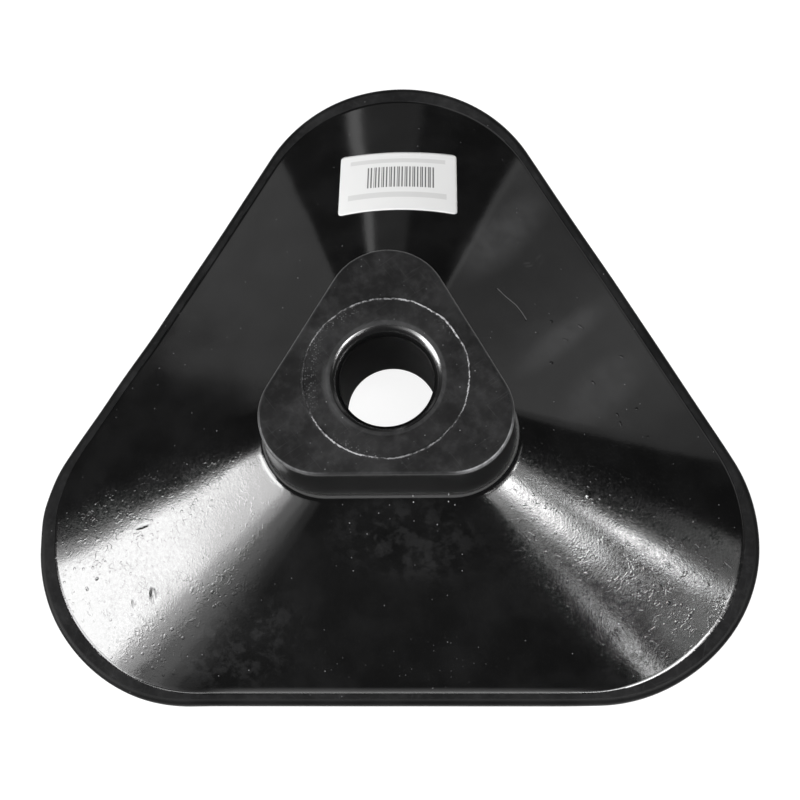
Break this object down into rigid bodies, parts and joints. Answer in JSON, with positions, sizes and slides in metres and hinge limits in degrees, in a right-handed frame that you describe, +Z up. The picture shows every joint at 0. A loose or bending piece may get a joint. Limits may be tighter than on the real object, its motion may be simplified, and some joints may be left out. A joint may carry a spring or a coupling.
{
  "type": "rubber sign base",
  "caption": "Moulded black rubber foot for a sign post: a rounded triangle with a flat flange, sloping faces and a raised boss with a round post socket.",
  "frame": {"origin": "on the socket's axis, on the floor plane that the rim rests on", "axes": "+Z up along the post socket, +Y towards the corner that carries the label, +X along the straight front side"},
  "size_m": [0.34, 0.3148, 0.0905],
  "materials": {
    "rubber": "semi-gloss moulded black rubber, matt on the boss's top and the flange",
    "paper": "matt white paper label"
  },
  "bodies": {
    "root": {"base": "rubber", "label": "paper"}
  },
  "joints": []
}
